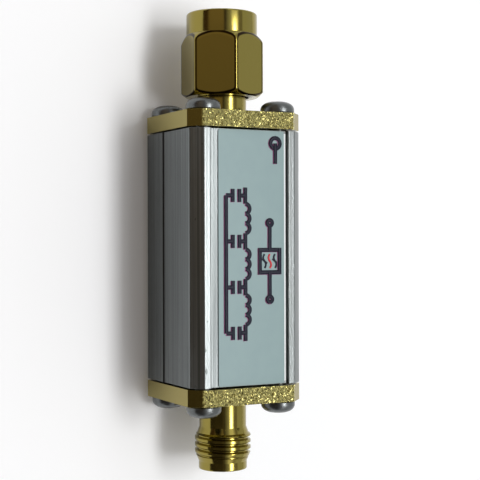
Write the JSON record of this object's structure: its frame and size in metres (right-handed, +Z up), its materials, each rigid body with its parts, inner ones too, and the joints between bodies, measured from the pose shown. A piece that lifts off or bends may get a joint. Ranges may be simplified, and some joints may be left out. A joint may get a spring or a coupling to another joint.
{
  "type": "rf bandpass filter",
  "caption": "In-line coaxial bandpass filter: a small square aluminium case between a coaxial plug with a spinning coupling nut and a threaded coaxial jack.",
  "frame": {"origin": "centre of the bounding box's bottom: the filter lies on the edges of its two flanges, under the middle of its length", "axes": "+X along the coaxial axis from the plug to the jack, +Y across the case, +Z up through the label"},
  "size_m": [0.0502, 0.0136, 0.0135],
  "materials": {
    "case": "drawn aluminium, satin, with fine lines along its length",
    "plated_body": "gold-plated brass, bright, with rough sawn flange edges",
    "plated_nut": "gold-plated brass, polished",
    "contact": "gold-plated, polished",
    "dielectric": "white PTFE, waxy",
    "gasket": "red silicone rubber",
    "spring_steel": "spring steel",
    "screw": "nickel-plated steel, bright",
    "board": "green solder mask on fibreglass",
    "wire": "enamelled copper wire",
    "chip": "fired ceramic",
    "label": "printed film, semi-gloss"
  },
  "bodies": {
    "housing": {"upper_shell": "case", "lower_shell": "case", "plug_body": "plated_body", "jack_body": "plated_body", "plug_centre_pin": "contact", "jack_centre_contact": "contact", "plug_dielectric": "dielectric", "jack_dielectric": "dielectric", "plug_gasket": "gasket", "nut_snap_ring": "spring_steel", "circuit_board": "board", "label": "label", "plug_screw_1": "screw", "plug_screw_2": "screw", "plug_screw_3": "screw", "plug_screw_4": "screw", "jack_screw_1": "screw", "jack_screw_2": "screw", "jack_screw_3": "screw", "jack_screw_4": "screw", "coil_1": "wire", "coil_2": "wire", "coil_3": "wire", "chip_capacitor_1": "chip", "chip_capacitor_2": "chip", "chip_capacitor_3": "chip", "chip_capacitor_4": "chip", "chip_capacitor_5": "chip", "chip_capacitor_6": "chip"},
    "coupling_nut": {"coupling_nut": "plated_nut"}
  },
  "joints": [
    {"name": "coupling_nut_spin", "type": "hinge", "parent": "housing", "child": "coupling_nut", "pos_m": [-0.02053, 0, 0.00675], "axis": [1, 0, 0], "continuous": true}
  ]
}
